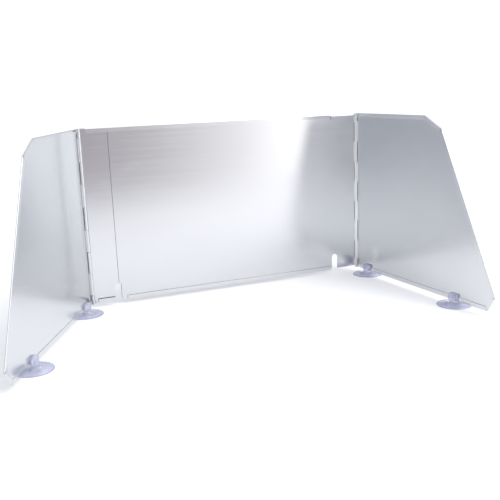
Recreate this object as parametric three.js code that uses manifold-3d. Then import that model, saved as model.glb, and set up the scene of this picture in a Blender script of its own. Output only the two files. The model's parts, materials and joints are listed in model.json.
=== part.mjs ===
// Folding three-panel sheet-metal screen: a telescoping centre, two hinged wings and four suction cup feet.
// Units are millimetres, +Z is up, and the screen opens towards -Y.
import * as THREE from "three";
import { mergeVertices } from "three/addons/utils/BufferGeometryUtils.js";
import Module from "manifold-3d";

const wasm = await Module();
wasm.setup();

// Driving dimensions
const PANEL_HEIGHT = 240;
const PANEL_LIFT = 6; // bottom edge of the panels above the surface
const SCREEN_WIDTH = 416; // between the two hinge axes, with the centre pushed together
const SHEET = 0.8;
const SLIDE_GAP = 0.4; // on each side of the sliding sheet, inside the guide lips
const CLEARANCE = 0.3; // between pieces that touch on the real object

const PIN_RADIUS = 1.4;
const KNUCKLE_PITCH = 30.6;
const FULL_KNUCKLES = 7;
const KNUCKLE_GAP = 0.5;
const KNUCKLE_WRAP = 300; // degrees of roll
const RELIEF = 2.25; // a leaf's cut edge beside the other leaf's knuckles, from the hinge axis

const LIP_HEIGHT = 6;
const LIP_START = 8; // from the left hinge axis
const FIXED_SHEET_END = 372; // free edge of the left centre sheet, from the left hinge axis
const LIP_END = FIXED_SHEET_END - 1;
const SLIDING_SHEET_START = 38; // free edge of the right centre sheet, pushed together
const SLIDING_SHEET_INSET = 2; // the right centre sheet is this much lower at the top and bottom

const LEFT_NOTCH_INSET = 36; // middle of the notch from its sheet's own hinge axis
const RIGHT_NOTCH_INSET = 38;
const NOTCH_WIDTH = 9;
const NOTCH_HEIGHT = 24.5;
const LIP_BREAK = 8; // length without a lip beside the left notch

const WING_TOP = 181; // hinge axis to the uncut top corner
const WING_BOTTOM = 302; // hinge axis to the uncut bottom corner
const TOP_CORNER_CUT = [24, 18]; // along the top edge, and down the sloping edge
const BOTTOM_CORNER_CUT = [22, 22]; // up the sloping edge, and along the bottom edge
const HEM = 6;
const HEM_MITRE = 0.6;
const LEFT_WING_FOLD = 63; // degrees inwards from straight
const RIGHT_WING_FOLD = 85;

const CUP_RADIUS = 23;
const CUP_RIM = 2.5;
const CUP_EDGE = 0.8;
const CUP_DOME = 4.4;
const CUP_HOLLOW = 2;
const CUP_NECK_RADIUS = 5.4;
const CUP_HEAD = { length: 15, thickness: 9.4, corner: 1.8, top: 15.4 };
const CUP_DISTANCES = { rear: 28, front: 220 }; // from the hinge axis, along the wing

// Derived sizes
const PANEL_TOP = PANEL_LIFT + PANEL_HEIGHT;
const BORE_RADIUS = PIN_RADIUS + CLEARANCE;
const BARREL_RADIUS = BORE_RADIUS + SHEET;
const CHANNEL_DEPTH = 3 * SHEET + 2 * SLIDE_GAP;
const SLIDING_SHEET_Y = -(SHEET + SLIDE_GAP); // outer face of the right centre sheet
const LEFT_AXIS = new THREE.Vector3(0, -BARREL_RADIUS, 0);
const RIGHT_AXIS = new THREE.Vector3(SCREEN_WIDTH, SLIDING_SHEET_Y - BARREL_RADIUS, 0);
const HEMMED_EDGE = 2 * SHEET;
const ARC_STEPS = 16;

const satinSheet = { color: 0xc4c9d0, roughness: 0.34, metalness: 1 };
const pinSteel = { color: 0x9a9da2, roughness: 0.3, metalness: 1 };
const clearVinyl = { color: 0xaab2ee, roughness: 0.12, metalness: 0, transparent: true, opacity: 0.6 };

// Booleans
function solidOf(geometry) {
  const bare = geometry.index ? geometry.toNonIndexed() : geometry.clone();
  bare.deleteAttribute("normal");
  bare.deleteAttribute("uv");
  const merged = mergeVertices(bare, 1e-4);
  return new wasm.Manifold(
    new wasm.Mesh({
      numProp: 3,
      vertProperties: new Float32Array(merged.attributes.position.array),
      triVerts: new Uint32Array(merged.index.array),
    }),
  );
}

function geometryOf(solid) {
  const mesh = solid.getMesh();
  const geometry = new THREE.BufferGeometry();
  geometry.setAttribute("position", new THREE.BufferAttribute(mesh.vertProperties, 3));
  geometry.setIndex(new THREE.BufferAttribute(mesh.triVerts, 1));
  const faceted = geometry.toNonIndexed();
  faceted.computeVertexNormals();
  return faceted;
}

function joined(solids) {
  return solids.reduce((whole, piece) => whole.add(piece));
}

function named(name, solid, finish) {
  const mesh = new THREE.Mesh(geometryOf(solid), new THREE.MeshStandardMaterial(finish));
  mesh.name = name;
  return mesh;
}

// An outline in X and Z, made into a sheet that reaches from y = outer to y = outer - thickness.
function plate(shape, outer, thickness = SHEET) {
  const geometry = new THREE.ExtrudeGeometry(shape, {
    depth: thickness,
    bevelEnabled: false,
    curveSegments: ARC_STEPS,
  });
  geometry.rotateX(Math.PI / 2);
  geometry.translate(0, outer, 0);
  return solidOf(geometry);
}

// An outline in X and Y, made into a solid from z = bottom to z = top.
function column(shape, bottom, top) {
  const geometry = new THREE.ExtrudeGeometry(shape, {
    depth: top - bottom,
    bevelEnabled: false,
    curveSegments: ARC_STEPS,
  });
  geometry.translate(0, 0, bottom);
  return solidOf(geometry);
}

function polygon(points) {
  return new THREE.Shape(points.map(([x, y]) => new THREE.Vector2(x, y)));
}

function rectangle(left, bottom, right, top) {
  return polygon([
    [left, bottom],
    [right, bottom],
    [right, top],
    [left, top],
  ]);
}

function roundedRectangle(length, width, corner) {
  const x = length / 2 - corner;
  const y = width / 2 - corner;
  const shape = new THREE.Shape();
  shape.absarc(x, y, corner, 0, Math.PI / 2, false);
  shape.absarc(-x, y, corner, Math.PI / 2, Math.PI, false);
  shape.absarc(-x, -y, corner, Math.PI, 1.5 * Math.PI, false);
  shape.absarc(x, -y, corner, 1.5 * Math.PI, 2 * Math.PI, false);
  return shape;
}

// A slot with a round top, open below the panel.
function notch(centre) {
  const half = NOTCH_WIDTH / 2;
  const shoulder = PANEL_LIFT + NOTCH_HEIGHT - half;
  const shape = new THREE.Shape();
  shape.moveTo(centre - half, 0);
  shape.lineTo(centre + half, 0);
  shape.absarc(centre, shoulder, half, 0, Math.PI, false);
  const through = 2 * CHANNEL_DEPTH;
  return plate(shape, CHANNEL_DEPTH, through);
}

// Hinge leaves. "side" is 1 where the sheet runs towards +X from the hinge axis, and -1 towards -X.
function knuckleProfile(side) {
  const start = Math.PI / 2;
  const end = start + (KNUCKLE_WRAP * Math.PI) / 180;
  const shape = new THREE.Shape();
  shape.moveTo(RELIEF + 1, BORE_RADIUS);
  shape.lineTo(RELIEF + 1, BARREL_RADIUS);
  shape.lineTo(0, BARREL_RADIUS);
  shape.absarc(0, 0, BARREL_RADIUS, start, end, false);
  shape.absarc(0, 0, BORE_RADIUS, end, start, true);
  if (side > 0) return shape;
  return polygon(shape.getPoints(ARC_STEPS).map((p) => [-p.x, p.y]));
}

// Knuckle k of a hinge, counted from the top: 0 and 8 are the short ends, odd ones belong to the centre.
function knuckleSpan(k) {
  const end = (PANEL_HEIGHT - FULL_KNUCKLES * KNUCKLE_PITCH) / 2;
  const top = k === 0 ? PANEL_TOP : PANEL_TOP - end - (k - 1) * KNUCKLE_PITCH;
  const bottom = k > FULL_KNUCKLES ? PANEL_LIFT : PANEL_TOP - end - k * KNUCKLE_PITCH;
  return {
    top: k === 0 ? top : top - KNUCKLE_GAP / 2,
    bottom: k > FULL_KNUCKLES ? bottom : bottom + KNUCKLE_GAP / 2,
  };
}

// The rolled knuckles of one leaf, about the axis at x = 0, y = 0.
function knuckles(side, first) {
  const rolls = [];
  for (let k = first; k <= FULL_KNUCKLES + 1; k += 2) {
    const span = knuckleSpan(k);
    rolls.push(column(knuckleProfile(side), span.bottom, span.top));
  }
  return joined(rolls);
}

// A guide lip: a web folded forward from the sheet's edge and a return that faces the sheet.
function guideLip(left, right, edge, inwards) {
  const webStart = SHEET / 2; // inside the sheet that it is folded from
  const web = new THREE.BoxGeometry(right - left, CHANNEL_DEPTH - webStart, SHEET);
  web.translate((left + right) / 2, -(CHANNEL_DEPTH + webStart) / 2, edge + (inwards * SHEET) / 2);
  const back = new THREE.BoxGeometry(right - left, SHEET, LIP_HEIGHT);
  back.translate((left + right) / 2, -CHANNEL_DEPTH + SHEET / 2, edge + (inwards * LIP_HEIGHT) / 2);
  return solidOf(web).add(solidOf(back));
}

// The left centre sheet: hinge leaf on the left, guide lips along the top and bottom.
function leftCentreSheet() {
  const sheet = plate(rectangle(RELIEF, PANEL_LIFT, FIXED_SHEET_END, PANEL_TOP), 0);
  const leaf = knuckles(1, 1).translate([0, LEFT_AXIS.y, 0]);
  const lipRestart = LEFT_NOTCH_INSET + NOTCH_WIDTH / 2 + LIP_BREAK;
  const lips = [
    guideLip(LIP_START, LIP_END, PANEL_TOP, -1),
    guideLip(LIP_START, LEFT_NOTCH_INSET, PANEL_LIFT, 1),
    guideLip(lipRestart, LIP_END, PANEL_LIFT, 1),
  ];
  return joined([sheet, leaf, ...lips]).subtract(notch(LEFT_NOTCH_INSET));
}

// The right centre sheet: it slides in the lips of the left one, and carries the right hinge.
function rightCentreSheet() {
  const bottom = PANEL_LIFT + SLIDING_SHEET_INSET;
  const top = PANEL_TOP - SLIDING_SHEET_INSET;
  const cutTop = PANEL_LIFT + NOTCH_HEIGHT;
  const cutRight = LEFT_NOTCH_INSET + NOTCH_WIDTH / 2 + CLEARANCE;
  const outline = polygon([
    [SLIDING_SHEET_START, cutTop],
    [cutRight, cutTop],
    [cutRight, bottom],
    [SCREEN_WIDTH - RELIEF, bottom],
    [SCREEN_WIDTH - RELIEF, top],
    [SLIDING_SHEET_START, top],
  ]);
  const sheet = plate(outline, SLIDING_SHEET_Y);
  const hemOutline = rectangle(FIXED_SHEET_END + 2, top - HEM, SCREEN_WIDTH - RELIEF - 2, top);
  const hem = plate(hemOutline, SLIDING_SHEET_Y - SHEET);
  const leaf = knuckles(-1, 1).translate([SCREEN_WIDTH, RIGHT_AXIS.y, 0]);
  return joined([sheet, hem, leaf]).subtract(notch(SCREEN_WIDTH - RIGHT_NOTCH_INSET));
}

// The wing's outline from the top of the hinge round to its bottom, as distance from the axis and height.
function wingOutline() {
  const corners = [
    [RELIEF, PANEL_TOP],
    [WING_TOP, PANEL_TOP],
    [WING_BOTTOM, PANEL_LIFT],
    [RELIEF, PANEL_LIFT],
  ].map(([s, z]) => new THREE.Vector2(s, z));
  const cut = (from, to, setback) => {
    const along = corners[to].clone().sub(corners[from]);
    return along.setLength(setback).add(corners[from]);
  };
  return [
    corners[0],
    cut(1, 0, TOP_CORNER_CUT[0]),
    cut(1, 2, TOP_CORNER_CUT[1]),
    cut(2, 1, BOTTOM_CORNER_CUT[0]),
    cut(2, 3, BOTTOM_CORNER_CUT[1]),
    corners[3],
  ];
}

// Where two lines cross, each given by a point and a direction.
function crossing(p, d, q, e) {
  const between = q.clone().sub(p);
  const t = between.cross(e) / d.cross(e);
  return p.clone().addScaledVector(d, t);
}

// One folded strip for each outer edge of the outline, with mitred ends.
function hemStrips(outline) {
  const edges = outline.slice(1).map((end, i) => {
    const start = outline[i];
    const along = end.clone().sub(start).normalize();
    const inner = start.clone().add(new THREE.Vector2(along.y, -along.x).multiplyScalar(HEM));
    return { start, end, along, inner };
  });
  return edges.map((edge, i) => {
    const before = edges[i - 1];
    const after = edges[i + 1];
    const gap = edge.along.clone().multiplyScalar(HEM_MITRE);
    const innerStart = before
      ? crossing(edge.inner, edge.along, before.inner, before.along).add(gap)
      : edge.inner.clone();
    const innerEnd = after
      ? crossing(edge.inner, edge.along, after.inner, after.along).sub(gap)
      : edge.inner.clone().addScaledVector(edge.along, edge.end.distanceTo(edge.start));
    const start = before ? edge.start.clone().add(gap) : edge.start;
    const end = after ? edge.end.clone().sub(gap) : edge.end;
    return [start, end, innerEnd, innerStart];
  });
}

// A wing lies straight here, about a hinge axis at the origin, with its outer face at y = BARREL_RADIUS.
function wing(side) {
  const place = (points) => polygon(points.map((p) => [side * p.x, p.y]));
  const outline = wingOutline();
  const sheet = plate(place(outline), BARREL_RADIUS);
  const hems = hemStrips(outline).map((strip) => plate(place(strip), BARREL_RADIUS - SHEET));
  return joined([sheet, ...hems, knuckles(side, 0)]);
}

function hingePin() {
  const end = CLEARANCE;
  const profile = [
    [0, PANEL_LIFT - end],
    [PIN_RADIUS - end, PANEL_LIFT - end],
    [PIN_RADIUS, PANEL_LIFT],
    [PIN_RADIUS, PANEL_TOP],
    [PIN_RADIUS - end, PANEL_TOP + end],
    [0, PANEL_TOP + end],
  ].map(([r, z]) => new THREE.Vector2(r, z));
  const geometry = new THREE.LatheGeometry(profile, 24);
  geometry.rotateX(Math.PI / 2);
  return solidOf(geometry);
}

// The cup's profile from the middle of its hollow underside, over the rim and dome, to the neck.
function cupProfile() {
  const profile = [];
  const rimInside = CUP_RADIUS - CUP_RIM;
  const steps = 5;
  for (let i = 0; i <= steps; i++) {
    const r = (rimInside * i) / steps;
    profile.push(new THREE.Vector2(r, CUP_HOLLOW * (1 - (r / rimInside) ** 2)));
  }
  profile.push(new THREE.Vector2(CUP_RADIUS, 0));
  for (let i = 0; i <= steps; i++) {
    const share = i / steps;
    const r = CUP_RADIUS + (CUP_NECK_RADIUS - CUP_RADIUS) * share;
    profile.push(new THREE.Vector2(r, CUP_EDGE + (CUP_DOME - CUP_EDGE) * share ** 1.4));
  }
  profile.push(new THREE.Vector2(CUP_NECK_RADIUS, CUP_DOME + 0.8));
  profile.push(new THREE.Vector2(0, CUP_DOME + 0.8));
  return profile;
}

// A cup with its slot along X, standing on z = 0.
function cup() {
  const geometry = new THREE.LatheGeometry(cupProfile(), 36);
  geometry.rotateX(Math.PI / 2);
  const block = roundedRectangle(CUP_HEAD.length, CUP_HEAD.thickness, CUP_HEAD.corner);
  const head = column(block, CUP_DOME + 0.2, CUP_HEAD.top);
  const slotHalf = HEMMED_EDGE / 2 + CLEARANCE;
  const slotShape = rectangle(-CUP_HEAD.length, -slotHalf, CUP_HEAD.length, slotHalf);
  const slot = column(slotShape, PANEL_LIFT - CLEARANCE, CUP_HEAD.top + 1);
  return solidOf(geometry).add(head).subtract(slot);
}

// A wing with its pin and cups, in a group that turns about the hinge.
function wingAssembly(label, side, axis, fold) {
  const group = new THREE.Group();
  group.position.copy(axis);
  group.rotation.z = (-side * fold * Math.PI) / 180;
  group.add(named(`${label}_wing`, wing(side), satinSheet));
  group.add(named(`${label}_hinge_pin`, hingePin(), pinSteel));
  for (const [place, distance] of Object.entries(CUP_DISTANCES)) {
    const foot = named(`${label}_${place}_suction_cup`, cup(), clearVinyl);
    foot.position.set(side * distance, BARREL_RADIUS - HEMMED_EDGE / 2, 0);
    group.add(foot);
  }
  return group;
}

const screen = new THREE.Group();
screen.add(named("left_centre_sheet", leftCentreSheet(), satinSheet));
screen.add(named("right_centre_sheet", rightCentreSheet(), satinSheet));
screen.add(wingAssembly("left", -1, LEFT_AXIS, LEFT_WING_FOLD));
screen.add(wingAssembly("right", 1, RIGHT_AXIS, RIGHT_WING_FOLD));

// The origin is the middle of the whole screen's footprint, on the surface it stands on.
screen.updateMatrixWorld(true);
const bounds = new THREE.Box3().setFromObject(screen);
const middle = bounds.getCenter(new THREE.Vector3());
screen.position.set(-middle.x, -middle.y, -bounds.min.z);

export default screen;
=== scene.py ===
"""A folding sheet-metal shield: telescoping centre, two hinged wings and four suction cup feet."""
import json
from math import asin, atan2, ceil, cos, pi, radians, sin, tan

import bmesh
import bpy
from bpy.props import (
    FloatProperty,
    FloatVectorProperty,
    IntProperty,
    PointerProperty,
)
from mathutils import Matrix, Vector


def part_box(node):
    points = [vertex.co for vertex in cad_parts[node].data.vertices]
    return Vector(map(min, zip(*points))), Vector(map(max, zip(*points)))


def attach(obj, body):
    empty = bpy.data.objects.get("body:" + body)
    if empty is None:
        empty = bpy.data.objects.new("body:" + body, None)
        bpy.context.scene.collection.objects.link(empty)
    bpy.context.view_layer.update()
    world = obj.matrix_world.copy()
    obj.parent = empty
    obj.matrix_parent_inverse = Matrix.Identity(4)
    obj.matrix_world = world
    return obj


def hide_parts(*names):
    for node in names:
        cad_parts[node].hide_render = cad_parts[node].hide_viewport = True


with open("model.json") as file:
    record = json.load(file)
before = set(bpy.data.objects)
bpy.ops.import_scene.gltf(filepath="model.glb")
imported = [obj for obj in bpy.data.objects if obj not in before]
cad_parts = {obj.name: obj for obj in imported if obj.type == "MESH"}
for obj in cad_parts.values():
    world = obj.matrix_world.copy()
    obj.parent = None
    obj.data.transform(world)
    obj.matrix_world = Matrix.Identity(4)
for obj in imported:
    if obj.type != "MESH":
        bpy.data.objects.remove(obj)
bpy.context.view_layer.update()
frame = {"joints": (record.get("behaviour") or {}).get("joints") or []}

bl_info = {
    "name": "Folding sheet-metal shield",
    "version": (1, 0, 0),
    "blender": (4, 5, 0),
    "location": "View3D > Sidebar > Shield",
    "description": "Builds the sheets, hinges, pins and suction cups of a folding shield on its frame",
    "category": "Object",
}

# What the frame says: the hinge axes, the sheets' extents and where the cups stand
JOINTS = {joint["name"]: joint for joint in frame["joints"]}
LEFT_HINGE = Vector(JOINTS["left_wing_fold"]["pos_m"])
RIGHT_HINGE = Vector(JOINTS["right_wing_fold"]["pos_m"])
LEFT_SHEET_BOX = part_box("left_centre_sheet")
RIGHT_SHEET_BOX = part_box("right_centre_sheet")
PANEL_BOTTOM = LEFT_SHEET_BOX[0].z
PANEL_TOP = LEFT_SHEET_BOX[1].z
BARREL_RADIUS = LEFT_SHEET_BOX[1].y - LEFT_HINGE.y
CUPS = [f"{side}_{place}_suction_cup" for side in ("left", "right") for place in ("rear", "front")]
CUP_RADIUS = min((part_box(cup)[1].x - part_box(cup)[0].x) / 2 for cup in CUPS)

MM = 0.001
GRAIN = "grain"  # the UV map that runs up the sheet in U and along the rolling direction in V
BEND_STEP = radians(22.5)
MADE = {}  # the finishes and the node tree made so far, by name


# ---------------------------------------------------------------- settings


class ShieldSheetSettings(bpy.types.PropertyGroup):
    """Sizes and colour of the sheets, their folds and their hinge leaves"""

    thickness: FloatProperty(
        name="Thickness",
        description="Thickness of the sheet",
        default=0.8 * MM,
        precision=4,
        unit="LENGTH",
    )
    lip_height: FloatProperty(
        name="Lip height",
        description="Height of the guide lips that hold the sliding sheet",
        default=6 * MM,
        precision=4,
        unit="LENGTH",
    )
    lip_depth: FloatProperty(
        name="Lip depth",
        description="From the outer face of the sheet to the inner face of a guide lip",
        default=3.2 * MM,
        precision=4,
        unit="LENGTH",
    )
    hem_width: FloatProperty(
        name="Hem width",
        description="Width of the edge that is folded back on the sheet",
        default=6 * MM,
        precision=4,
        unit="LENGTH",
    )
    knuckle_pitch: FloatProperty(
        name="Knuckle pitch",
        description="Length of a full knuckle with its gap",
        default=30.6 * MM,
        precision=4,
        unit="LENGTH",
    )
    full_knuckles: IntProperty(
        name="Full knuckles",
        description="Knuckles of full length along a hinge, between the two short end ones",
        default=7,
        min=1,
    )
    knuckle_gap: FloatProperty(
        name="Knuckle gap",
        description="Gap between one knuckle and the next",
        default=0.5 * MM,
        precision=4,
        unit="LENGTH",
    )
    knuckle_wrap: FloatProperty(
        name="Knuckle roll",
        description="How far a knuckle is rolled round its pin",
        default=radians(300),
        subtype="ANGLE",
        unit="ROTATION",
    )
    relief: FloatProperty(
        name="Leaf relief",
        description="How far a leaf's edge stands back from the hinge axis",
        default=2.25 * MM,
        precision=4,
        unit="LENGTH",
    )
    notch_width: FloatProperty(
        name="Notch width",
        description="Width of the notches in the lower edge of the centre",
        default=9 * MM,
        precision=4,
        unit="LENGTH",
    )
    notch_height: FloatProperty(
        name="Notch height",
        description="Height of the notches above the lower edge of the centre",
        default=24.5 * MM,
        precision=4,
        unit="LENGTH",
    )
    left_notch: FloatProperty(
        name="Left notch inset",
        description="Middle of the left notch from the left hinge axis",
        default=36 * MM,
        precision=4,
        unit="LENGTH",
    )
    right_notch: FloatProperty(
        name="Right notch inset",
        description="Middle of the right notch from the right hinge axis",
        default=38 * MM,
        precision=4,
        unit="LENGTH",
    )
    wing_top: FloatProperty(
        name="Wing top",
        description="Top edge of a wing, from the hinge axis to its uncut corner",
        default=181 * MM,
        precision=4,
        unit="LENGTH",
    )
    wing_bottom: FloatProperty(
        name="Wing bottom",
        description="Bottom edge of a wing, from the hinge axis to its uncut corner",
        default=302 * MM,
        precision=4,
        unit="LENGTH",
    )
    top_corner: FloatVectorProperty(
        name="Top corner cut",
        description="How far the top corner is cut back along the top edge and the sloping edge",
        size=2,
        default=(24 * MM, 18 * MM),
        precision=4,
        unit="LENGTH",
    )
    bottom_corner: FloatVectorProperty(
        name="Bottom corner cut",
        description="How far the bottom corner is cut back along the sloping edge and the bottom edge",
        size=2,
        default=(22 * MM, 22 * MM),
        precision=4,
        unit="LENGTH",
    )
    colour: FloatVectorProperty(
        name="Sheet colour",
        description="Reflection colour of the satin sheet",
        subtype="COLOR",
        default=(0.675, 0.685, 0.70),
        min=0,
        max=1,
    )


class ShieldFootSettings(bpy.types.PropertyGroup):
    """Sizes and colour of the suction cups and the pins"""

    cup_radius: FloatProperty(
        name="Cup radius",
        description="Radius of a suction cup's rim",
        default=CUP_RADIUS,
        precision=4,
        unit="LENGTH",
    )
    dome_height: FloatProperty(
        name="Dome height",
        description="Height of the disc where it meets the neck",
        default=4.4 * MM,
        precision=4,
        unit="LENGTH",
    )
    neck_radius: FloatProperty(
        name="Neck radius",
        description="Radius of the neck between the disc and the head",
        default=5.4 * MM,
        precision=4,
        unit="LENGTH",
    )
    head_length: FloatProperty(
        name="Head length",
        description="Length of the slotted head along its slot",
        default=15 * MM,
        precision=4,
        unit="LENGTH",
    )
    head_thickness: FloatProperty(
        name="Head thickness",
        description="Thickness of the slotted head across its slot",
        default=9.4 * MM,
        precision=4,
        unit="LENGTH",
    )
    slot_width: FloatProperty(
        name="Slot width",
        description="Width of the slot that grips the hemmed edge",
        default=2.0 * MM,
        precision=4,
        unit="LENGTH",
    )
    pin_radius: FloatProperty(
        name="Pin radius",
        description="Radius of a hinge pin",
        default=1.4 * MM,
        precision=4,
        unit="LENGTH",
    )
    vinyl_colour: FloatVectorProperty(
        name="Vinyl colour",
        description="Tint of the clear vinyl",
        subtype="COLOR",
        default=(0.80, 0.82, 1.0),
        min=0,
        max=1,
    )


class ShieldStageSettings(bpy.types.PropertyGroup):
    """Camera and light"""

    camera_place: FloatVectorProperty(
        name="Camera place",
        description="Where the camera stands",
        subtype="TRANSLATION",
        default=(-0.3166, -0.8357, 0.2977),
        precision=4,
        unit="LENGTH",
    )
    heading: FloatProperty(
        name="Heading",
        description="Turn of the camera about the vertical, from looking along +Y",
        default=radians(-21.68),
        subtype="ANGLE",
        unit="ROTATION",
    )
    tilt: FloatProperty(
        name="Tilt",
        description="Camera above or below the horizontal",
        default=radians(-13.01),
        subtype="ANGLE",
        unit="ROTATION",
    )
    roll: FloatProperty(
        name="Roll",
        description="Turn of the camera about its own view line",
        default=radians(2.15),
        subtype="ANGLE",
        unit="ROTATION",
    )
    lens: FloatProperty(
        name="Lens",
        description="Focal length on a sensor 36 mm wide",
        default=52.36,
        min=1,
    )
    overhead_strength: FloatProperty(
        name="Overhead light",
        description="Strength of the soft light above the shield, in watts per square metre",
        default=1.2,
        min=0,
    )
    side_power: FloatProperty(
        name="Side light",
        description="Power of the soft light over the floor at the right front",
        default=3.0,
        unit="POWER",
        min=0,
    )
    room_level: FloatProperty(
        name="Room level",
        description="Brightness of the room that the metal reflects",
        default=1.06,
        min=0,
    )
    floor_front: FloatProperty(
        name="Floor front",
        description="How far the floor reaches in front of the shield's middle",
        default=0.77,
        unit="LENGTH",
        min=0.5,
    )
    floor_colour: FloatVectorProperty(
        name="Floor colour",
        description="Colour of the floor",
        subtype="COLOR",
        default=(0.93, 0.93, 0.94),
        min=0,
        max=1,
    )


def sheets():
    return bpy.context.scene.shield_sheets


def feet():
    return bpy.context.scene.shield_feet


# ---------------------------------------------------------------- node trees


def add_node(tree, kind, inputs=None, **settings):
    """A node with its settings, and each named or numbered input linked or given a value."""
    node = tree.nodes.new(kind)
    for name, value in settings.items():
        setattr(node, name, value)
    for key, value in (inputs or {}).items():
        if isinstance(value, bpy.types.NodeSocket):
            tree.links.new(value, node.inputs[key])
        else:
            node.inputs[key].default_value = value
    return node


def calculate(tree, kind, operation, *values):
    """A math node of the shader or geometry kind, as its output socket."""
    node = add_node(tree, kind, dict(enumerate(values)), operation=operation)
    return node.outputs[0]


def new_material(name):
    material = bpy.data.materials.new(name)
    material.use_nodes = True
    tree = material.node_tree
    return material, tree, tree.nodes["Principled BSDF"]


def ramp(tree, factor, low, high, start=0.0, end=1.0):
    """A value or colour that goes from low to high as factor goes from start to end."""
    node = add_node(
        tree,
        "ShaderNodeMapRange",
        {"Value": factor, "From Min": start, "From Max": end, "To Min": low, "To Max": high},
    )
    return node.outputs["Result"]


def mixed_colour(tree, factor, first, second):
    node = add_node(tree, "ShaderNodeMix", {"Factor": factor}, data_type="RGBA")
    sockets = {socket.identifier: socket for socket in (*node.inputs, *node.outputs)}
    sockets["A_Color"].default_value = (*first, 1)
    sockets["B_Color"].default_value = (*second, 1)
    return sockets["Result_Color"]


def noise(tree, coordinates, scale, detail=2.0, roughness=0.5):
    """Noise whose size along each axis comes from scale, in cells per metre."""
    stretched = add_node(
        tree,
        "ShaderNodeVectorMath",
        {0: coordinates, 1: scale},
        operation="MULTIPLY",
    )
    texture = add_node(
        tree,
        "ShaderNodeTexNoise",
        {
            "Vector": stretched.outputs[0],
            "Scale": 1.0,
            "Detail": detail,
            "Roughness": roughness,
        },
    )
    return texture.outputs["Fac"]


def shaded(colour, share):
    return tuple(min(1.0, channel * share) for channel in colour)


# ---------------------------------------------------------------- finishes


def satin_sheet():
    """Satin aluminium sheet: rolling grain along the sheet, faint ripples and handling marks."""
    if "satin_sheet" in MADE:
        return MADE["satin_sheet"]
    material, tree, shader = new_material("satin_sheet")
    colour = tuple(sheets().colour)
    place = add_node(tree, "ShaderNodeUVMap", uv_map=GRAIN).outputs["UV"]
    solid = add_node(tree, "ShaderNodeTexCoord").outputs["Object"]
    fine = noise(tree, place, (900.0, 14.0, 1.0), 1.0)
    streaks = noise(tree, place, (420.0, 5.0, 1.0), 1.0)
    ripples = noise(tree, solid, (5.0, 5.0, 4.0), 1.0)
    marks = noise(tree, solid, (17.0, 17.0, 24.0), 4.0, 0.55)
    tint = calculate(tree, "ShaderNodeMath", "MULTIPLY_ADD", fine, 0.4, streaks)
    spread = ramp(tree, tint, 0.0, 1.0, 0.4, 1.0)
    base = mixed_colour(tree, spread, shaded(colour, 0.99), shaded(colour, 1.01))
    wiped = ramp(tree, marks, 0.0, 0.03, 0.48, 0.72)
    grain_roughness = ramp(tree, tint, 0.175, 0.205, 0.4, 1.0)
    roughness = calculate(tree, "ShaderNodeMath", "ADD", grain_roughness, wiped)
    wave = add_node(
        tree, "ShaderNodeBump", {"Height": ripples, "Strength": 1.0, "Distance": 0.3 * MM}
    )
    scratched = add_node(
        tree,
        "ShaderNodeBump",
        {
            "Height": streaks,
            "Strength": 0.3,
            "Distance": 0.001 * MM,
            "Normal": wave.outputs["Normal"],
        },
    )
    along = add_node(tree, "ShaderNodeTangent", direction_type="UV_MAP", uv_map=GRAIN)
    shader.inputs["Metallic"].default_value = 1.0
    shader.inputs["Anisotropic"].default_value = 0.35
    tree.links.new(base, shader.inputs["Base Color"])
    tree.links.new(roughness, shader.inputs["Roughness"])
    tree.links.new(scratched.outputs["Normal"], shader.inputs["Normal"])
    tree.links.new(along.outputs["Tangent"], shader.inputs["Tangent"])
    MADE["satin_sheet"] = material
    return material


def pin_steel():
    """Drawn steel wire, with draw marks along its length."""
    if "pin_steel" in MADE:
        return MADE["pin_steel"]
    material, tree, shader = new_material("pin_steel")
    solid = add_node(tree, "ShaderNodeTexCoord").outputs["Object"]
    drawn = noise(tree, solid, (4200.0, 4200.0, 60.0), 3.0)
    stained = noise(tree, solid, (300.0, 300.0, 90.0), 3.0)
    base = mixed_colour(tree, stained, (0.50, 0.50, 0.52), (0.66, 0.66, 0.68))
    roughness = ramp(tree, drawn, 0.2, 0.42, 0.3, 0.7)
    bump = add_node(
        tree, "ShaderNodeBump", {"Height": drawn, "Strength": 0.4, "Distance": 0.02 * MM}
    )
    shader.inputs["Metallic"].default_value = 1.0
    tree.links.new(base, shader.inputs["Base Color"])
    tree.links.new(roughness, shader.inputs["Roughness"])
    tree.links.new(bump.outputs["Normal"], shader.inputs["Normal"])
    MADE["pin_steel"] = material
    return material


def clear_vinyl():
    """Clear soft PVC: a faint blue-violet tint, a slightly wavy skin and flow marks."""
    if "clear_vinyl" in MADE:
        return MADE["clear_vinyl"]
    material, tree, shader = new_material("clear_vinyl")
    colour = tuple(feet().vinyl_colour)
    solid = add_node(tree, "ShaderNodeTexCoord").outputs["Object"]
    flow = noise(tree, solid, (90.0, 90.0, 140.0), 3.0, 0.6)
    skin = noise(tree, solid, (420.0, 420.0, 420.0), 2.0)
    base = mixed_colour(tree, flow, shaded(colour, 0.96), shaded(colour, 1.04))
    roughness = ramp(tree, skin, 0.05, 0.14, 0.3, 0.7)
    bump = add_node(
        tree, "ShaderNodeBump", {"Height": skin, "Strength": 0.25, "Distance": 0.1 * MM}
    )
    shader.inputs["IOR"].default_value = 1.52
    shader.inputs["Transmission Weight"].default_value = 0.8
    shader.inputs["Alpha"].default_value = 0.85
    tree.links.new(base, shader.inputs["Base Color"])
    tree.links.new(roughness, shader.inputs["Roughness"])
    tree.links.new(bump.outputs["Normal"], shader.inputs["Normal"])
    MADE["clear_vinyl"] = material
    return material


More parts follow.
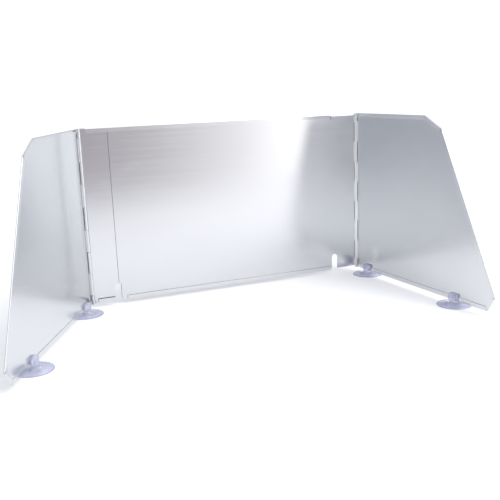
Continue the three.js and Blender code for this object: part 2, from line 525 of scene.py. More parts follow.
def pale_floor():
    material, tree, shader = new_material("pale_floor")
    colour = tuple(bpy.context.scene.shield_stage.floor_colour)
    solid = add_node(tree, "ShaderNodeTexCoord").outputs["Object"]
    cloud = noise(tree, solid, (3.0, 3.0, 3.0), 2.0)
    base = mixed_colour(tree, cloud, shaded(colour, 0.99), shaded(colour, 1.01))
    shader.inputs["Roughness"].default_value = 0.9
    shader.inputs["Specular IOR Level"].default_value = 0.0
    tree.links.new(base, shader.inputs["Base Color"])
    return material


# ---------------------------------------------------------------- bending sheet metal


def side_frame(origin, along):
    """From (along the sheet, outwards, up) about a hinge axis to the row frame."""
    along = Vector((along.x, along.y, 0)).normalized()
    outwards = Vector((-along.y, along.x, 0))
    if outwards.y < 0:
        outwards = -outwards
    columns = (along, outwards, Vector((0, 0, 1)))
    matrix = Matrix.Identity(4)
    for i, column in enumerate(columns):
        for j in range(3):
            matrix[j][i] = column[j]
    matrix.translation = Vector((origin.x, origin.y, 0))
    return matrix


def bend_path(*moves):
    """The middle line of a bent sheet, seen end on, as (out, up, travelled) points. Each move is
    (length, turn), and its turn is spread evenly over its length."""
    points = []
    out = up = heading = travelled = 0.0
    for length, turn in moves:
        steps = max(1, ceil(abs(turn) / BEND_STEP))
        half = turn / steps / 2
        chord = length / steps * (sin(half) / half if half else 1.0)
        for _ in range(steps):
            heading += half
            out += chord * cos(heading)
            up += chord * sin(heading)
            heading += half
            travelled += length / steps
            points.append((out, up, travelled))
    return points


class SheetMetal:
    """A sheet's middle surface while it is cut and bent: X along the sheet from the hinge axis,
    Y outwards and Z up."""

    def __init__(self):
        self.bm = bmesh.new()
        self.flat = self.bm.verts.layers.float_vector.new("flat")
        self.y = BARREL_RADIUS - sheets().thickness / 2

    def blank(self, outline):
        """The flat of the sheet, from its outline as (along, up) points, as its vertices."""
        corners = []
        for x, z in outline:
            vert = self.bm.verts.new((x, self.y, z))
            vert[self.flat] = (x, z, 0)
            corners.append(vert)
        self.bm.faces.new(corners)
        return corners

    def fold(self, row, outward, path, mitres=(0.0, 0.0)):
        """Bends the sheet inwards from a row of vertices on its edge. outward is the way out of
        the edge, and mitres are the slants of the strip's two ends."""
        outward = Vector((outward[0], 0, outward[1])).normalized()
        along = (row[-1].co - row[0].co).normalized()
        start = [vert.co.copy() for vert in row]
        start_flat = [vert[self.flat].copy() for vert in row]
        last = row
        for number, (out, up, travelled) in enumerate(path):
            shift = outward * out - Vector((0, up, 0))
            new_row = []
            for co, flat in zip(start, start_flat):
                vert = self.bm.verts.new(co + shift)
                vert[self.flat] = flat + Vector((outward.x, outward.z, 0)) * travelled
                new_row.append(vert)
            if number == len(path) - 1:
                new_row[0].co += along * mitres[0]
                new_row[-1].co -= along * mitres[1]
            for i in range(len(row) - 1):
                self.bm.faces.new((last[i], last[i + 1], new_row[i + 1], new_row[i]))
            last = new_row

    def mesh(self, name):
        grain = self.bm.loops.layers.uv.new(GRAIN)
        for face in self.bm.faces:
            for loop in face.loops:
                flat = loop.vert[self.flat]
                loop[grain].uv = (flat.y, flat.x)
        self.bm.verts.layers.float_vector.remove(self.flat)
        return mesh_of(self.bm, name)


PRESSED_HEM = 0.56 * MM  # middle radius of the fold of a hem that is pressed flat
OPEN_HEM = 0.66 * MM  # the same along the top, where the hem stays a little open
HEM_TOUCH = 0.04 * MM  # left between a hem's free edge and the sheet


def hem_strip(bend):
    return sheets().hem_width - hem_allowance(bend)


def hem_path(bend):
    """The fold bulges a little, and the strip leans in until its free edge meets the sheet."""
    strip = hem_strip(bend)
    turn = pi + asin((2 * bend - sheets().thickness - HEM_TOUCH) / strip)
    return bend_path((bend * turn, turn), (strip, 0))


def hem_allowance(bend):
    """From the flat's edge out to the outside of the fold."""
    return bend + sheets().thickness / 2


LIP_BEND = 0.8 * MM
LIP_START = 8 * MM  # from the left hinge axis
LIP_SHORT = 1 * MM  # the lips end this much before the sheet's free edge
LIP_BREAK = 8 * MM  # length without a lip beside the left notch
LIP_LEAN = radians(3.5)  # how far the top lip is pinched in towards the sliding sheet


def lip_path(lean=0.0):
    depth = sheets().lip_depth - sheets().thickness
    rest = sheets().lip_height - LIP_BEND - sheets().thickness / 2
    quarter = (LIP_BEND * pi / 2, pi / 2)
    last = (LIP_BEND * pi / 2, pi / 2 + lean)
    return bend_path(quarter, (depth - 2 * LIP_BEND, 0), last, (rest, 0))


def lip_allowance():
    return LIP_BEND + sheets().thickness / 2


def knuckle_span(k):
    """Bottom and top of knuckle k, counted from the top: 0 and the last are the short ends."""
    s = sheets()
    end = (PANEL_TOP - PANEL_BOTTOM - s.full_knuckles * s.knuckle_pitch) / 2
    top = PANEL_TOP - end - (k - 1) * s.knuckle_pitch - s.knuckle_gap / 2
    bottom = PANEL_TOP - end - k * s.knuckle_pitch + s.knuckle_gap / 2
    return max(bottom, PANEL_BOTTOM), min(top, PANEL_TOP)


def hinge_edge(first, bottom, top):
    """The leaf's straight edge from bottom to top, with a corner at each end of each knuckle."""
    s = sheets()
    heights = {bottom, top}
    for k in range(first, s.full_knuckles + 2, 2):
        heights.update(knuckle_span(k))
    return [(s.relief, z) for z in sorted(heights) if bottom <= z <= top]


NOTCH_CLEARANCE = 0.3 * MM  # from the left notch to the cut in the right centre sheet


def notch(middle, bottom, top):
    """A slot with a round top, from its left foot to its right one."""
    half = sheets().notch_width / 2
    steps = 12
    arc = [
        (middle - half * cos(pi * i / steps), top - half + half * sin(pi * i / steps))
        for i in range(steps + 1)
    ]
    return [(middle - half, bottom), *arc, (middle + half, bottom)]


def hinge_leaf_tree():
    """Geometry nodes that add a leaf's rolled knuckles along its hinge edge."""
    if "hinge_leaf" in MADE:
        return MADE["hinge_leaf"]
    tree = bpy.data.node_groups.new("rolled_hinge_leaf", "GeometryNodeTree")
    face = tree.interface
    face.new_socket("Sheet", in_out="INPUT", socket_type="NodeSocketGeometry")
    for name in ("Top", "Bottom", "Pitch", "Gap", "Roll Radius", "Roll Angle", "Relief"):
        face.new_socket(name, in_out="INPUT", socket_type="NodeSocketFloat")
    for name in ("Full Knuckles", "First Knuckle", "Knuckles"):
        face.new_socket(name, in_out="INPUT", socket_type="NodeSocketInt")
    face.new_socket("Finish", in_out="INPUT", socket_type="NodeSocketMaterial")
    face.new_socket("Leaf", in_out="OUTPUT", socket_type="NodeSocketGeometry")
    given = add_node(tree, "NodeGroupInput").outputs

    def math(operation, *values):
        return calculate(tree, "ShaderNodeMath", operation, *values)

    # One knuckle, one unit long: a tab from the sheet to the top of the roll, then the roll
    steps = 18
    sheet = add_node(
        tree,
        "GeometryNodeMeshGrid",
        {"Size X": 1.0, "Size Y": 1.0, "Vertices X": steps + 2, "Vertices Y": 2},
    )
    place = add_node(tree, "GeometryNodeInputPosition").outputs[0]
    parts = add_node(tree, "ShaderNodeSeparateXYZ", {0: place}).outputs
    step = math("MULTIPLY_ADD", parts["X"], steps + 1.0, (steps + 1.0) / 2)
    tab_left = math("SUBTRACT", 1.0, math("MINIMUM", step, 1.0))
    share = math("DIVIDE", math("MAXIMUM", math("SUBTRACT", step, 1.0), 0.0), float(steps))
    angle = math("MULTIPLY_ADD", share, given["Roll Angle"], pi / 2)
    roll_x = math("MULTIPLY", math("COSINE", angle), given["Roll Radius"])
    roll_y = math("MULTIPLY", math("SINE", angle), given["Roll Radius"])
    x = math("MULTIPLY_ADD", tab_left, given["Relief"], roll_x)
    rolled = add_node(tree, "ShaderNodeCombineXYZ", {"X": x, "Y": roll_y, "Z": parts["Y"]})
    length = math("MULTIPLY", math("MULTIPLY", share, given["Roll Angle"]), given["Roll Radius"])
    up = math("MULTIPLY", parts["Y"], given["Pitch"])
    flat = add_node(tree, "ShaderNodeCombineXYZ", {"X": up, "Y": length})
    marked = add_node(
        tree,
        "GeometryNodeStoreNamedAttribute",
        {"Geometry": sheet.outputs["Mesh"], "Name": GRAIN, "Value": flat.outputs[0]},
        data_type="FLOAT2",
        domain="CORNER",
    )
    knuckle = add_node(
        tree,
        "GeometryNodeSetPosition",
        {"Geometry": marked.outputs[0], "Position": rolled.outputs[0]},
    )

    # Every second knuckle along the hinge, the end ones cut off at the panel's edges
    line = add_node(
        tree,
        "GeometryNodeMeshLine",
        {"Count": given["Knuckles"], "Offset": (0.0, 0.0, 0.0)},
    )
    index = add_node(tree, "GeometryNodeInputIndex").outputs[0]
    k = math("MULTIPLY_ADD", index, 2.0, given["First Knuckle"])
    height = math("SUBTRACT", given["Top"], given["Bottom"])
    full = math("MULTIPLY", given["Full Knuckles"], given["Pitch"])
    end = math("DIVIDE", math("SUBTRACT", height, full), 2.0)
    down = math("MULTIPLY_ADD", k, given["Pitch"], end)
    foot = math("SUBTRACT", given["Top"], down)
    half_gap = math("DIVIDE", given["Gap"], 2.0)
    bottom = math("MAXIMUM", math("ADD", foot, half_gap), given["Bottom"])
    head = math("SUBTRACT", math("ADD", foot, given["Pitch"]), half_gap)
    top = math("MINIMUM", head, given["Top"])
    middle = math("DIVIDE", math("ADD", top, bottom), 2.0)
    centre = add_node(tree, "ShaderNodeCombineXYZ", {"Z": middle})
    spots = add_node(
        tree,
        "GeometryNodeSetPosition",
        {"Geometry": line.outputs["Mesh"], "Position": centre.outputs[0]},
    )
    span = add_node(
        tree,
        "ShaderNodeCombineXYZ",
        {"X": 1.0, "Y": 1.0, "Z": math("SUBTRACT", top, bottom)},
    )
    knuckles = add_node(
        tree,
        "GeometryNodeInstanceOnPoints",
        {
            "Points": spots.outputs[0],
            "Instance": knuckle.outputs[0],
            "Scale": span.outputs[0],
        },
    )
    both = add_node(tree, "GeometryNodeJoinGeometry")
    tree.links.new(given["Sheet"], both.inputs[0])
    tree.links.new(knuckles.outputs[0], both.inputs[0])
    real = add_node(tree, "GeometryNodeRealizeInstances", {0: both.outputs[0]})
    welded = add_node(
        tree,
        "GeometryNodeMergeByDistance",
        {"Geometry": real.outputs[0], "Distance": 0.01 * MM},
    )
    painted = add_node(
        tree,
        "GeometryNodeSetMaterial",
        {"Geometry": welded.outputs[0], "Material": given["Finish"]},
    )
    add_node(tree, "NodeGroupOutput", {0: painted.outputs[0]})
    MADE["hinge_leaf"] = tree
    return tree


def set_inputs(modifier, values):
    """Sets a geometry nodes modifier's inputs by their names in the tree."""
    for item in modifier.node_group.interface.items_tree:
        if item.item_type == "SOCKET" and item.in_out == "INPUT" and item.name in values:
            modifier[item.identifier] = values[item.name]


def settled(shape):
    """The object's mesh with its modifiers applied, and the object removed."""
    depsgraph = bpy.context.evaluated_depsgraph_get()
    mesh = bpy.data.meshes.new_from_object(
        shape.evaluated_get(depsgraph), preserve_all_data_layers=True, depsgraph=depsgraph
    )
    bpy.data.objects.remove(shape)
    return mesh


def linked(name, mesh):
    shape = bpy.data.objects.new(name, mesh)
    bpy.context.scene.collection.objects.link(shape)
    return shape


def sheet_piece(node, body, sheet, matrix, first):
    """Adds the knuckles, gives the middle surface its thickness and puts the piece in its body.
    first is the number of the leaf's first knuckle from the top."""
    s = sheets()
    shape = linked(f"{node}_middle", sheet.mesh(node))
    leaf = shape.modifiers.new("hinge_leaf", "NODES")
    leaf.node_group = hinge_leaf_tree()
    set_inputs(
        leaf,
        {
            "Top": PANEL_TOP,
            "Bottom": PANEL_BOTTOM,
            "Pitch": s.knuckle_pitch,
            "Gap": s.knuckle_gap,
            "Roll Radius": BARREL_RADIUS - s.thickness / 2,
            "Roll Angle": s.knuckle_wrap,
            "Relief": s.relief,
            "Full Knuckles": s.full_knuckles,
            "First Knuckle": first,
            "Knuckles": len(range(first, s.full_knuckles + 2, 2)),
            "Finish": satin_sheet(),
        },
    )
    middle = settled(shape)
    bm = bmesh.new()
    bm.from_mesh(middle)
    bmesh.ops.transform(bm, matrix=matrix, verts=bm.verts)
    bmesh.ops.recalc_face_normals(bm, faces=bm.faces)
    bm.to_mesh(middle)
    bm.free()
    shape = linked(f"{node}_shell", middle)
    wall = shape.modifiers.new("wall", "SOLIDIFY")
    wall.thickness = s.thickness - 0.02 * MM
    wall.offset = 0.0
    wall.use_even_offset = True
    wall.use_quality_normals = True
    piece = finished(f"{node}_formed", settled(shape), satin_sheet(), radians(32))
    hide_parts(node)
    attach(piece, body)
    return piece


def finished(name, mesh, material, sharp):
    """A piece at the origin with smooth curves, true flats and its material."""
    mesh.materials.clear()
    mesh.materials.append(material)
    bm = bmesh.new()
    bm.from_mesh(mesh)
    for face in bm.faces:
        face.smooth = True
        face.material_index = 0
    for edge in bm.edges:
        edge.smooth = edge.is_manifold and edge.calc_face_angle(0.0) < sharp
    bm.to_mesh(mesh)
    bm.free()
    shape = linked(name, mesh)
    weights = shape.modifiers.new("true_flats", "WEIGHTED_NORMAL")
    weights.keep_sharp = True
    weights.weight = 100
    mesh = settled(shape)
    mesh.name = name
    return linked(name, mesh)


# ---------------------------------------------------------------- the pieces


class SHIELD_OT_left_centre_sheet(bpy.types.Operator):
    """Left centre sheet, with its hinge leaf and the guide lips along its top and bottom"""

    bl_idname = "shield.left_centre_sheet"
    bl_label = "Left centre sheet"

    def execute(self, context):
        s = sheets()
        free_edge = LEFT_SHEET_BOX[1].x - LEFT_HINGE.x
        lip_start = LIP_START
        lip_end = free_edge - LIP_SHORT
        low = PANEL_BOTTOM + lip_allowance()
        high = PANEL_TOP - lip_allowance()
        foot = s.left_notch - s.notch_width / 2
        restart = s.left_notch + s.notch_width / 2 + LIP_BREAK
        slot = notch(s.left_notch, low, PANEL_BOTTOM + s.notch_height)
        slot[-1] = (slot[-1][0], PANEL_BOTTOM)
        outline = [
            *reversed(hinge_edge(1, PANEL_BOTTOM, PANEL_TOP)),
            (lip_start, PANEL_BOTTOM),
            (lip_start, low),
            *slot,
            (restart, PANEL_BOTTOM),
            (restart, low),
            (lip_end, low),
            (lip_end, PANEL_BOTTOM),
            (free_edge, PANEL_BOTTOM),
            (free_edge, PANEL_TOP),
            (lip_end, PANEL_TOP),
            (lip_end, high),
            (lip_start, high),
            (lip_start, PANEL_TOP),
        ]
        sheet = SheetMetal()
        corners = sheet.blank(outline)
        at = {point: vert for point, vert in zip(outline, corners)}
        sheet.fold([at[lip_start, high], at[lip_end, high]], (0, 1), lip_path(LIP_LEAN))
        sheet.fold([at[lip_start, low], at[foot, low]], (0, -1), lip_path())
        sheet.fold([at[restart, low], at[lip_end, low]], (0, -1), lip_path())
        matrix = side_frame(LEFT_HINGE, Vector((1, 0, 0)))
        sheet_piece("left_centre_sheet", "left_centre", sheet, matrix, 1)
        return {"FINISHED"}


class SHIELD_OT_right_centre_sheet(bpy.types.Operator):
    """Right centre sheet, which slides in the left one's lips and carries the right hinge"""

    bl_idname = "shield.right_centre_sheet"
    bl_label = "Right centre sheet"

    def execute(self, context):
        s = sheets()
        bottom = RIGHT_SHEET_BOX[0].z
        top = RIGHT_SHEET_BOX[1].z
        free_edge = RIGHT_HINGE.x - RIGHT_SHEET_BOX[0].x
        left_lip_end = LEFT_SHEET_BOX[1].x
        hem_start = s.relief + 2 * MM
        hem_end = RIGHT_HINGE.x - left_lip_end - 2 * MM
        high = top - hem_allowance(PRESSED_HEM)
        cut_top = PANEL_BOTTOM + s.notch_height
        inset = RIGHT_SHEET_BOX[0].x - LEFT_HINGE.x
        cut_width = s.left_notch + s.notch_width / 2 + NOTCH_CLEARANCE - inset
        outline = [
            *reversed(hinge_edge(1, bottom, top)),
            *notch(s.right_notch, bottom, cut_top),
            (free_edge - cut_width, bottom),
            (free_edge - cut_width, cut_top),
            (free_edge, cut_top),
            (free_edge, top),
            (hem_end, top),
            (hem_end, high),
            (hem_start, high),
            (hem_start, top),
        ]
        sheet = SheetMetal()
        corners = sheet.blank(outline)
        at = {point: vert for point, vert in zip(outline, corners)}
        sheet.fold([at[hem_start, high], at[hem_end, high]], (0, 1), hem_path(PRESSED_HEM))
        matrix = side_frame(RIGHT_HINGE, Vector((-1, 0, 0)))
        sheet_piece("right_centre_sheet", "right_centre", sheet, matrix, 1)
        return {"FINISHED"}


def cup_middle(name):
    """The axis of a suction cup, at the surface it stands on."""
    low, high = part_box(name)
    return Vector(((low.x + high.x) / 2, (low.y + high.y) / 2, 0))


def wing_direction(side):
    """The way a wing runs from its hinge: the way from its rear cup to its front one."""
    return cup_middle(f"{side}_front_suction_cup") - cup_middle(f"{side}_rear_suction_cup")


def wing_frame(side):
    hinge = LEFT_HINGE if side == "left" else RIGHT_HINGE
    along = wing_direction(side).normalized()
    matrix = side_frame(hinge, along)
    outwards = cup_middle(f"{side}_front_suction_cup") - Vector((hinge.x, hinge.y, 0))
    if matrix.col[1].to_3d().dot(outwards) < 0:
        matrix.col[1] *= -1
    return matrix


def wing_corners():
    """The wing's outline from the top of the hinge round to its bottom."""
    s = sheets()
    uncut = [
        Vector((s.relief, PANEL_TOP)),
        Vector((s.wing_top, PANEL_TOP)),
        Vector((s.wing_bottom, PANEL_BOTTOM)),
        Vector((s.relief, PANEL_BOTTOM)),
    ]

    def cut(start, end, setback):
        return uncut[start] + (uncut[end] - uncut[start]).normalized() * setback

    return [
        uncut[0],
        cut(1, 0, s.top_corner[0]),
        cut(1, 2, s.top_corner[1]),
        cut(2, 1, s.bottom_corner[0]),
        cut(2, 3, s.bottom_corner[1]),
        uncut[3],
    ]


def crossing(p, d, q, e):
    """Where two lines cross, each given by a point and a direction."""
    return p + d * ((q - p).cross(e) / d.cross(e))


def wing_sheet():
    """A wing with its top, front and bottom edges hemmed, and mitred corners."""
    corners = wing_corners()
    sides = []
    for start, end in zip(corners, corners[1:]):
        along = (end - start).normalized()
        outward = Vector((-along.y, along.x))
        bend = OPEN_HEM if len(sides) < 2 else PRESSED_HEM
        sides.append((start - outward * hem_allowance(bend), along, outward, bend))
    turns = [before[1].angle(after[1]) for before, after in zip(sides, sides[1:])]
    up = Vector((0, 1))
    bends = [crossing(sides[0][0], sides[0][1], corners[0], up)]
    for before, after in zip(sides, sides[1:]):
        bends.append(crossing(before[0], before[1], after[0], after[1]))
    bends.append(crossing(sides[-1][0], sides[-1][1], corners[-1], up))

    gap = 0.25 * MM
    outline = []
    folds = []
    for i, (_, along, outward, bend) in enumerate(sides):
        if i:
            outline.append(tuple(bends[i]))
        folds.append((len(outline), outward, bend, i))
        outline += [tuple(bends[i] + along * gap), tuple(bends[i + 1] - along * gap)]
    low_end = outline[-1]
    edge = hinge_edge(0, PANEL_BOTTOM, PANEL_TOP)
    outline += [(low_end[0], PANEL_BOTTOM), *edge, (outline[0][0], PANEL_TOP)]

    sheet = SheetMetal()
    verts = sheet.blank(outline)
    slants = [0.0] + [tan(turn / 2) for turn in turns] + [0.0]
    for place, outward, bend, i in folds:
        row = verts[place : place + 2]
        strip = hem_strip(bend)
        sheet.fold(row, outward, hem_path(bend), (strip * slants[i], strip * slants[i + 1]))
    return sheet


class SHIELD_OT_wings(bpy.types.Operator):
    """Both wings, with hemmed edges, cut corners and hinge leaves"""

    bl_idname = "shield.wings"
    bl_label = "Wings"

    def execute(self, context):
        for side in ("left", "right"):
            sheet_piece(f"{side}_wing", f"{side}_wing_panel", wing_sheet(), wing_frame(side), 0)
        return {"FINISHED"}


def revolved(profile, segments):
    """A closed solid turned about Z from a profile that starts and ends on the axis."""
    bm = bmesh.new()
    rings = []
    for radius, z in profile:
        if radius < 0.001 * MM:
            rings.append([bm.verts.new((0, 0, z))])
            continue
        ring = []
        for i in range(segments):
            angle = 2 * pi * i / segments
            ring.append(bm.verts.new((radius * cos(angle), radius * sin(angle), z)))
        rings.append(ring)
    for low, high in zip(rings, rings[1:]):
        for i in range(segments):
            j = (i + 1) % segments
            corners = [low[i % len(low)], low[j % len(low)], high[j % len(high)], high[i % len(high)]]
            bm.faces.new(list(dict.fromkeys(corners)))
    bmesh.ops.recalc_face_normals(bm, faces=bm.faces)
    return bm


def rounding(radius, middle_radius, middle_z, start, end, steps):
    """An arc of a profile, as (radius, height) points."""
    points = []
    for i in range(steps + 1):
        angle = start + (end - start) * i / steps
        points.append((middle_radius + radius * cos(angle), middle_z + radius * sin(angle)))
    return points


class SHIELD_OT_hinge_pins(bpy.types.Operator):
    """Hinge pins: steel wire with rounded ends"""

    bl_idname = "shield.hinge_pins"
    bl_label = "Hinge pins"

    def execute(self, context):
        radius = feet().pin_radius
        for side, hinge in (("left", LEFT_HINGE), ("right", RIGHT_HINGE)):
            node = f"{side}_hinge_pin"
            low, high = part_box(node)
            round_end = 0.45 * MM
            inner = radius - round_end
            rest = 24
            shaft = [
                (radius, low.z + round_end + (high.z - low.z - 2 * round_end) * i / rest)
                for i in range(1, rest)
            ]
            profile = [
                (0, low.z),
                *rounding(round_end, inner, low.z + round_end, -pi / 2, 0, 5),
                *shaft,
                *rounding(round_end, inner, high.z - round_end, 0, pi / 2, 5),
                (0, high.z),
            ]
            bm = revolved(profile, 32)
            bmesh.ops.translate(bm, vec=(hinge.x, hinge.y, 0), verts=bm.verts)
            piece = finished(f"{node}_wire", mesh_of(bm, node), pin_steel(), radians(50))
            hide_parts(node)
            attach(piece, f"{side}_wing_panel")
        return {"FINISHED"}


def cup_profile():
    """From the middle of the hollow underside, over the rim and the dome, into the head."""
    f = feet()
    hollow = 2.0 * MM
    lip = 2.5 * MM
    edge = 0.4 * MM
    steps = 10
    inside = f.cup_radius - lip
    under = [
        (inside * i / steps, hollow * (1 - (i / steps) ** 2) + 0.02 * MM) for i in range(steps + 1)
    ]
    rim = rounding(edge, f.cup_radius - edge, edge, -pi / 2, pi / 2, 8)
    dome = []
    for i in range(1, 2 * steps + 1):
        share = i / (2 * steps)
        radius = f.cup_radius - edge + (f.neck_radius - f.cup_radius + edge) * share
        height = 2 * edge + (f.dome_height - 2 * edge) * share**1.4
        dome.append((radius, height))
    neck = [(f.neck_radius - 0.3 * MM, f.dome_height + 0.6 * MM), (0, f.dome_height + 0.8 * MM)]
    return [*under, *rim, *dome, *neck]


def rounded_block(low, high, corner):
    """A block from one corner to the other with all its edges rounded."""
    bm = bmesh.new()
    bmesh.ops.create_cube(bm, size=1.0)
    size = high - low
    bmesh.ops.scale(bm, vec=size, verts=bm.verts)
    bmesh.ops.translate(bm, vec=(low + high) / 2, verts=bm.verts)
    if corner:
        bmesh.ops.bevel(
            bm, geom=bm.edges[:], offset=corner, segments=4, profile=0.5, affect="EDGES"
        )
    return bm


def mesh_of(bm, name):
    mesh = bpy.data.meshes.new(name)
    bm.to_mesh(mesh)
    bm.free()
    return mesh


def cup_solid():
    """A cup with its slot along X, standing on z = 0."""
    f = feet()
    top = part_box("left_front_suction_cup")[1].z
    half = Vector((f.head_length / 2, f.head_thickness / 2, 0))
    foot = f.dome_height - 0.4 * MM
    block = rounded_block(
        Vector((-half.x, -half.y, foot)), Vector((half.x, half.y, top)), 1.5 * MM
    )
    slot_foot = PANEL_BOTTOM - 0.3 * MM
    slot = rounded_block(
        Vector((-f.head_length, -f.slot_width / 2, slot_foot)),
        Vector((f.head_length, f.slot_width / 2, top + 5 * MM)),
        0.45 * MM,
    )
    body = linked("cup_body", mesh_of(revolved(cup_profile(), 96), "cup_body"))
    head = linked("cup_head", mesh_of(block, "cup_head"))
    cutter = linked("cup_slot", mesh_of(slot, "cup_slot"))
    for tool, operation in ((head, "UNION"), (cutter, "DIFFERENCE")):
        step = body.modifiers.new(tool.name, "BOOLEAN")
        step.object = tool
        step.operation = operation
        step.solver = "EXACT"
    mesh = settled(body)
    for tool in (head, cutter):
        bpy.data.objects.remove(tool)
    return mesh


class SHIELD_OT_suction_cups(bpy.types.Operator):
    """Four suction cups of clear vinyl, each with a slotted head on a wing's lower hem"""

    bl_idname = "shield.suction_cups"
    bl_label = "Suction cups"

    def execute(self, context):
        pattern = cup_solid()
        for side in ("left", "right"):
            direction = wing_direction(side)
            turn = Matrix.Rotation(atan2(direction.y, direction.x), 4, "Z")
            for place in ("rear", "front"):
                node = f"{side}_{place}_suction_cup"
                mesh = pattern.copy()
                mesh.transform(Matrix.Translation(cup_middle(node)) @ turn)
                piece = finished(f"{node}_moulded", mesh, clear_vinyl(), radians(38))
                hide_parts(node)
                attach(piece, f"{side}_wing_panel")
        return {"FINISHED"}


# ---------------------------------------------------------------- the stage


def overhead_light(strength):
    """A wide even light from above, a little from the front."""
    light = bpy.data.lights.new("overhead", "SUN")
    light.energy = strength
    light.angle = radians(100)
    lamp = bpy.data.objects.new("overhead", light)
    lamp.location = (0, -0.5, 2)
    lamp.rotation_euler = (radians(14), radians(6), 0)
    bpy.context.scene.collection.objects.link(lamp)


def side_light(power):
    """A small soft light over the floor at the right front, which the centre reflects."""
    light = bpy.data.lights.new("side", "AREA")
    light.shape = "DISK"
    light.size = 0.5
    light.energy = power
    lamp = bpy.data.objects.new("side", light)
    lamp.location = (0.5, -0.6, 0.8)
    bpy.context.scene.collection.objects.link(lamp)


# What stands round the shield, by heading from the front (-Y) towards the right (+X), in degrees
ROOM = (
    (-180, (0.42, 0.43, 0.46)),
    (-130, (0.66, 0.68, 0.71)),
    (-90, (0.72, 0.74, 0.78)),
    (-40, (0.68, 0.71, 0.77)),
    (-26, (0.52, 0.52, 0.58)),
    (-21.5, (0.40, 0.40, 0.45)),
    (-17, (0.80, 0.80, 0.85)),
    (-12, (1.90, 1.90, 1.95)),
    (-2, (0.85, 0.82, 0.85)),
    (5, (0.40, 0.37, 0.40)),
    (10, (0.42, 0.39, 0.42)),
    (17, (0.80, 0.77, 0.79)),
    (24, (1.25, 1.22, 1.24)),
    (28, (2.30, 2.28, 2.30)),
    (36, (1.55, 1.55, 1.60)),
    (60, (1.40, 1.43, 1.48)),
    (85, (0.85, 0.87, 0.90)),
    (110, (0.46, 0.47, 0.50)),
    (145, (0.72, 0.73, 0.76)),
    (180, (0.42, 0.43, 0.46)),
)
ROOM_SPAN = 360  # degrees of heading that the ramp covers, from its first entry


def studio_room(level):
    """White behind everything, and a room that is dim at the left and bright at the right."""
    world = bpy.data.worlds.new("studio_room")
    world.use_nodes = True
    tree = world.node_tree
    tree.nodes.clear()
    way = add_node(tree, "ShaderNodeTexCoord").outputs["Generated"]
    parts = add_node(tree, "ShaderNodeSeparateXYZ", {0: way}).outputs
    front = calculate(tree, "ShaderNodeMath", "MULTIPLY", parts["Y"], -1.0)
    heading = calculate(tree, "ShaderNodeMath", "ARCTAN2", parts["X"], front)
    start = radians(ROOM[0][0])
    share = ramp(tree, heading, 0.0, 1.0, start, start + radians(ROOM_SPAN))
    colours = add_node(tree, "ShaderNodeValToRGB", {0: share})
    stops = colours.color_ramp.elements
    stops.remove(stops[1])
    for number, (place, colour) in enumerate(ROOM):
        at = (place - ROOM[0][0]) / ROOM_SPAN
        stop = stops[0] if number == 0 else stops.new(at)
        stop.position = at
        stop.color = (*colour, 1)
    room = add_node(tree, "ShaderNodeBackground", {"Color": colours.outputs[0], "Strength": level})
    seen = add_node(tree, "ShaderNodeBackground", {"Color": (1, 1, 1, 1), "Strength": 1.02})
    ray = add_node(tree, "ShaderNodeLightPath").outputs["Is Camera Ray"]
    both = add_node(
        tree, "ShaderNodeMixShader", {0: ray, 1: room.outputs[0], 2: seen.outputs[0]}
    )
    add_node(tree, "ShaderNodeOutputWorld", {0: both.outputs[0]})
    bpy.context.scene.world = world


def studio_camera(stage):
    data = bpy.data.cameras.new("camera")
    data.sensor_width = 36
    data.lens = stage.lens
    data.clip_start = 0.02
    data.clip_end = 100
    camera = bpy.data.objects.new("camera", data)
    turn = (
        Matrix.Rotation(stage.heading, 4, "Z")
        @ Matrix.Rotation(stage.tilt, 4, "X")
        @ Matrix.Rotation(stage.roll, 4, "Y")
        @ Matrix.Rotation(radians(90), 4, "X")
    )
    camera.matrix_world = Matrix.Translation(stage.camera_place) @ turn
    bpy.context.scene.collection.objects.link(camera)
    bpy.context.scene.camera = camera


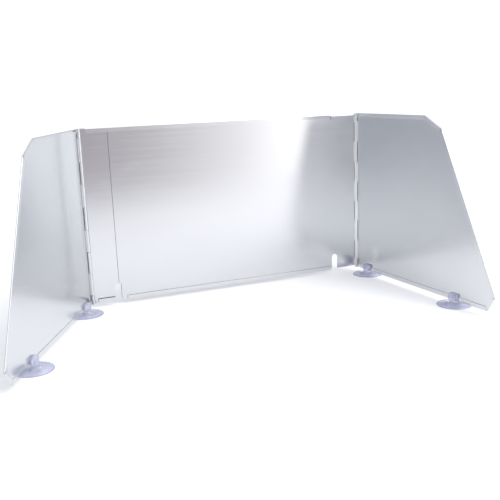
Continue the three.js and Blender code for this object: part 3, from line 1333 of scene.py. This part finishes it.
class SHIELD_OT_stage(bpy.types.Operator):
    """Pale floor, soft studio light and the camera"""

    bl_idname = "shield.stage"
    bl_label = "Stage"

    def execute(self, context):
        stage = context.scene.shield_stage
        half = 30.0
        front = -stage.floor_front
        below = -0.1 * MM
        mesh = bpy.data.meshes.new("floor")
        corners = [(-half, front), (half, front), (half, half), (-half, half)]
        mesh.from_pydata([(x, y, below) for x, y in corners], [], [(0, 1, 2, 3)])
        mesh.materials.append(pale_floor())
        floor = linked("floor", mesh)
        overhead_light(stage.overhead_strength)
        side_light(stage.side_power)
        studio_room(stage.room_level)
        studio_camera(stage)
        context.scene.view_settings.view_transform = "Standard"
        return {"FINISHED"}


class SHIELD_PT_pieces(bpy.types.Panel):
    """The shield's pieces and its stage"""

    bl_idname = "SHIELD_PT_pieces"
    bl_label = "Folding shield"
    bl_space_type = "VIEW_3D"
    bl_region_type = "UI"
    bl_category = "Shield"

    def draw(self, context):
        layout = self.layout
        groups = (
            ("shield_sheets", OPERATORS[:3]),
            ("shield_feet", OPERATORS[3:5]),
            ("shield_stage", OPERATORS[5:]),
        )
        for name, operators in groups:
            settings = getattr(context.scene, name)
            box = layout.box()
            for operator in operators:
                box.operator(operator.bl_idname)
            for key in settings.bl_rna.properties.keys():
                if key not in ("rna_type", "name"):
                    box.prop(settings, key)


SETTINGS_GROUPS = {
    "shield_sheets": ShieldSheetSettings,
    "shield_feet": ShieldFootSettings,
    "shield_stage": ShieldStageSettings,
}
OPERATORS = (
    SHIELD_OT_left_centre_sheet,
    SHIELD_OT_right_centre_sheet,
    SHIELD_OT_wings,
    SHIELD_OT_hinge_pins,
    SHIELD_OT_suction_cups,
    SHIELD_OT_stage,
)


def register():
    for cls in (*SETTINGS_GROUPS.values(), *OPERATORS, SHIELD_PT_pieces):
        bpy.utils.register_class(cls)
    for name, group in SETTINGS_GROUPS.items():
        setattr(bpy.types.Scene, name, PointerProperty(type=group))


def unregister():
    for name in SETTINGS_GROUPS:
        delattr(bpy.types.Scene, name)
    for cls in (SHIELD_PT_pieces, *reversed(OPERATORS), *SETTINGS_GROUPS.values()):
        bpy.utils.unregister_class(cls)


def main():
    register()
    bpy.ops.shield.stage()
    bpy.ops.shield.left_centre_sheet()
    bpy.ops.shield.right_centre_sheet()
    bpy.ops.shield.wings()
    bpy.ops.shield.hinge_pins()
    bpy.ops.shield.suction_cups()


if __name__ == "__main__":
    main()
